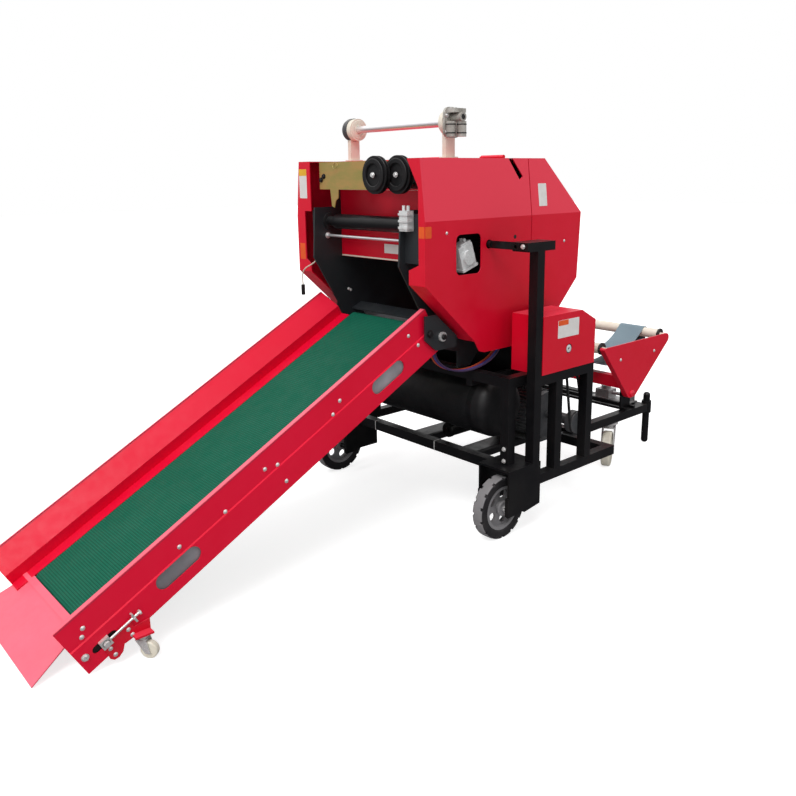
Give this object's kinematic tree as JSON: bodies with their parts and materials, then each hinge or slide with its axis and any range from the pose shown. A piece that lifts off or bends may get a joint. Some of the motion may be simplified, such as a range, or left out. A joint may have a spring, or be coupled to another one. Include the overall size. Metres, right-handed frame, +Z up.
{
  "type": "stationary mini round baler",
  "caption": "Small silage round baler on wheels with a feed conveyor, a lifting tailgate and a wrapping cradle.",
  "frame": {"origin": "on the floor, under the middle of the overall box", "axes": "+Z up, -Y towards the feed conveyor, +Y towards the wrapping cradle, +X the drive side"},
  "size_m": [1.169, 3.1324, 1.624],
  "materials": {
    "red_paint": "gloss",
    "black_paint": "satin",
    "zinc_plate": "bright zinc",
    "yellow_zinc": "yellow passivated",
    "grey_rubber": "matt",
    "rim_grey": "satin",
    "white_wheel": "satin",
    "steel": "turned",
    "black_plastic": "matt",
    "motor_grey": "painted",
    "cream_paint": "satin",
    "green_belt": "ribbed",
    "blue_belt": "woven",
    "cast_grey": "cast",
    "black_rubber": "matt",
    "hose_orange": "satin",
    "lead_cream": "satin"
  },
  "bodies": {
    "base": {"chassis_frame": "black_paint", "wheel_brackets": "black_paint", "platform_frame": "black_paint", "parking_legs": "black_paint", "support_post": "black_paint", "left_side_panel": "red_paint", "right_side_panel": "red_paint", "top_cover": "red_paint", "chamber_plates": "black_paint", "chamber_rollers": "steel", "feed_floor": "black_paint", "front_panel": "red_paint", "twine_plate": "yellow_zinc", "twine_discs": "black_plastic", "feed_roller": "black_paint", "gear_cover": "red_paint", "air_tank": "black_paint", "drive_motor": "motor_grey", "roll_holder": "cream_paint", "conveyor_pins": "zinc_plate", "cradle_stand": "black_paint", "mouth_valve": "black_plastic", "window_cylinder": "cast_grey", "motor_rails": "black_paint", "drive_belt": "black_rubber", "roof_clamp": "cast_grey", "wrap_drive": "black_paint", "air_hoses": "hose_orange", "hanging_lead": "lead_cream", "lead_plug": "black_plastic"},
    "front_left_wheel": {"left_tyre": "grey_rubber", "left_rim": "rim_grey"},
    "front_right_wheel": {"right_tyre": "grey_rubber", "right_rim": "rim_grey"},
    "rear_left_fork": {"left_caster_fork": "zinc_plate"},
    "rear_left_wheel": {"left_caster_wheel": "white_wheel"},
    "rear_right_fork": {"right_caster_fork": "zinc_plate"},
    "rear_right_wheel": {"right_caster_wheel": "white_wheel"},
    "conveyor": {"conveyor_left_side": "red_paint", "conveyor_right_side": "red_paint", "conveyor_belt": "green_belt", "conveyor_drums": "steel", "conveyor_apron": "red_paint", "conveyor_foot_brackets": "red_paint", "conveyor_bed": "zinc_plate", "belt_tensioners": "zinc_plate"},
    "foot_left_fork": {"left_foot_fork": "zinc_plate"},
    "foot_left_wheel": {"left_foot_wheel": "white_wheel"},
    "foot_right_fork": {"right_foot_fork": "zinc_plate"},
    "foot_right_wheel": {"right_foot_wheel": "white_wheel"},
    "tailgate": {"tailgate_shell": "red_paint", "tailgate_plates": "black_paint", "tailgate_rollers": "steel"},
    "cradle": {"cradle_frame": "red_paint", "cradle_rollers": "cream_paint", "cradle_belts": "blue_belt"},
    "bar": {"roll_bar": "zinc_plate"}
  },
  "joints": [
    {"name": "front_left_wheel_spin", "type": "hinge", "parent": "base", "child": "front_left_wheel", "pos_m": [-0.5175, 0.11479, 0.125], "axis": [1, 0, 0], "continuous": true},
    {"name": "front_right_wheel_spin", "type": "hinge", "parent": "base", "child": "front_right_wheel", "pos_m": [0.5145, 0.11479, 0.125], "axis": [1, 0, 0], "continuous": true},
    {"name": "rear_left_swivel", "type": "hinge", "parent": "base", "child": "rear_left_fork", "pos_m": [-0.3255, 1.12679, 0.208], "axis": [0, 0, 1], "continuous": true},
    {"name": "rear_left_wheel_spin", "type": "hinge", "parent": "rear_left_fork", "child": "rear_left_wheel", "pos_m": [-0.34663, 1.08705, 0.085], "axis": [-0.8829, 0.4695, 0], "continuous": true},
    {"name": "rear_right_swivel", "type": "hinge", "parent": "base", "child": "rear_right_fork", "pos_m": [0.3225, 1.12679, 0.208], "axis": [0, 0, 1], "continuous": true},
    {"name": "rear_right_wheel_spin", "type": "hinge", "parent": "rear_right_fork", "child": "rear_right_wheel", "pos_m": [0.34363, 1.08705, 0.085], "axis": [-0.8829, -0.4695, 0], "continuous": true},
    {"name": "conveyor_fold", "type": "hinge", "parent": "base", "child": "conveyor", "pos_m": [-0.0015, -0.02423, 0.79554], "axis": [-1, 0, 0], "range_deg": [0, 9]},
    {"name": "foot_left_swivel", "type": "hinge", "parent": "conveyor", "child": "foot_left_fork", "pos_m": [-0.3435, -1.26121, 0.075], "axis": [0, 0, 1], "continuous": true},
    {"name": "foot_left_wheel_spin", "type": "hinge", "parent": "foot_left_fork", "child": "foot_left_wheel", "pos_m": [-0.35882, -1.24836, 0.027], "axis": [0.6428, 0.766, 0], "continuous": true},
    {"name": "foot_right_swivel", "type": "hinge", "parent": "conveyor", "child": "foot_right_fork", "pos_m": [0.3405, -1.26121, 0.075], "axis": [0, 0, 1], "continuous": true},
    {"name": "foot_right_wheel_spin", "type": "hinge", "parent": "foot_right_fork", "child": "foot_right_wheel", "pos_m": [0.35582, -1.24836, 0.027], "axis": [0.6428, -0.766, 0], "continuous": true},
    {"name": "tailgate_lift", "type": "hinge", "parent": "base", "child": "tailgate", "pos_m": [-0.0015, 0.42479, 1.4513], "axis": [1, 0, 0], "range_deg": [0, 60]},
    {"name": "cradle_tip", "type": "hinge", "parent": "base", "child": "cradle", "pos_m": [-0.0015, 1.25679, 0.33], "axis": [-1, 0, 0], "range_deg": [0, 30]},
    {"name": "roll_bar_spin", "type": "hinge", "parent": "base", "child": "bar", "pos_m": [-0.0015, 0.08179, 1.57], "axis": [1, 0, 0], "continuous": true}
  ]
}
